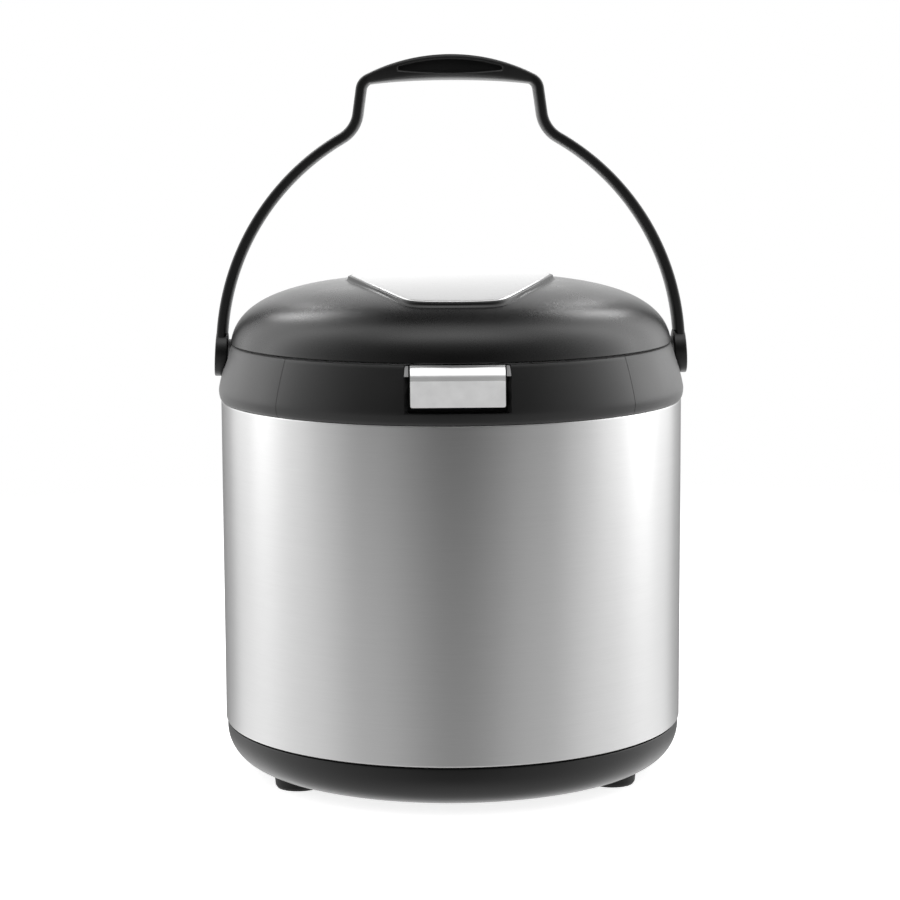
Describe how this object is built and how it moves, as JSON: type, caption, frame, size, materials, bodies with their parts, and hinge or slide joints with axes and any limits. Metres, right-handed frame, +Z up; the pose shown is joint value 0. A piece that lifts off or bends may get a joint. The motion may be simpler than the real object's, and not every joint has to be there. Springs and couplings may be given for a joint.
{
  "type": "thermal cooker",
  "caption": "Thermal cooker with a double-walled brushed steel body, black base, collar and hinged domed lid, a bail handle, a push-button latch and a lidded cooking pot inside.",
  "frame": {"origin": "On the floor, at the middle of the feet, under the body's axis.", "axes": "+Z up along the body's axis, -Y to the front where the latch is, +X to the right seen from the front; the handle's and the lid's hinges lie along X."},
  "size_m": [0.2772, 0.2764, 0.4203],
  "materials": {
    "black_plastic": "fine-grained satin moulding",
    "handle_plastic": "satin moulding",
    "pin_plastic": "satin moulding",
    "grey_plastic": "smooth moulding",
    "bright_plastic": "satin chromed plastic with a polished top edge",
    "brushed_steel": "fine brushing",
    "liner_steel": "drawn sheet",
    "pot_steel": "satin polished",
    "hardware": "plain turned or stamped steel",
    "rubber": "moulded rubber",
    "silicone": "moulded silicone",
    "foam": "foamed in place"
  },
  "bodies": {
    "body": {"base_cap": "black_plastic", "rubber_feet": "rubber", "foot_screws": "hardware", "outer_shell": "brushed_steel", "jacket_bottom": "liner_steel", "inner_liner": "liner_steel", "collar": "black_plastic", "pivot_pin_left": "pin_plastic", "pivot_pin_right": "pin_plastic", "latch_pin": "hardware", "latch_spring": "hardware", "hinge_pin": "hardware"},
    "handle": {"carry_handle": "handle_plastic"},
    "latch": {"latch_button": "bright_plastic"},
    "lid": {"lid_shell": "black_plastic", "lid_plate": "brushed_steel", "lid_foam": "foam", "lid_liner": "grey_plastic", "lid_gasket": "silicone", "lid_catch": "hardware", "lid_screws": "hardware"},
    "pot": {"inner_pot": "pot_steel", "pot_base": "pot_steel", "pot_ear_left": "pot_steel", "pot_ear_right": "pot_steel", "pot_rivets": "hardware"},
    "pot_cover": {"pot_lid": "pot_steel", "pot_knob": "black_plastic", "knob_washer": "hardware", "knob_screw": "hardware"}
  },
  "joints": [
    {"name": "handle_swing", "type": "hinge", "parent": "body", "child": "handle", "pos_m": [0, 0, 0.247], "axis": [-1, 0, 0], "range_deg": [-70, 70]},
    {"name": "lid_open", "type": "hinge", "parent": "body", "child": "lid", "pos_m": [0, 0.1355, 0.252], "axis": [-1, 0, 0], "range_deg": [0, 4]},
    {"name": "latch_press", "type": "hinge", "parent": "body", "child": "latch", "pos_m": [0, -0.1294, 0.2428], "axis": [1, 0, 0], "range_deg": [0, 14], "stiffness_Nm_per_rad": 0.2, "deforming": ["latch_spring"]},
    {"name": "pot_turn", "type": "hinge", "parent": "body", "child": "pot", "pos_m": [0, 0, 0.05], "axis": [0, 0, 1], "continuous": true},
    {"name": "pot_lid_lift", "type": "slide", "parent": "pot", "child": "pot_cover", "axis": [0, 0, 1], "range_m": [0, 0.008]}
  ]
}
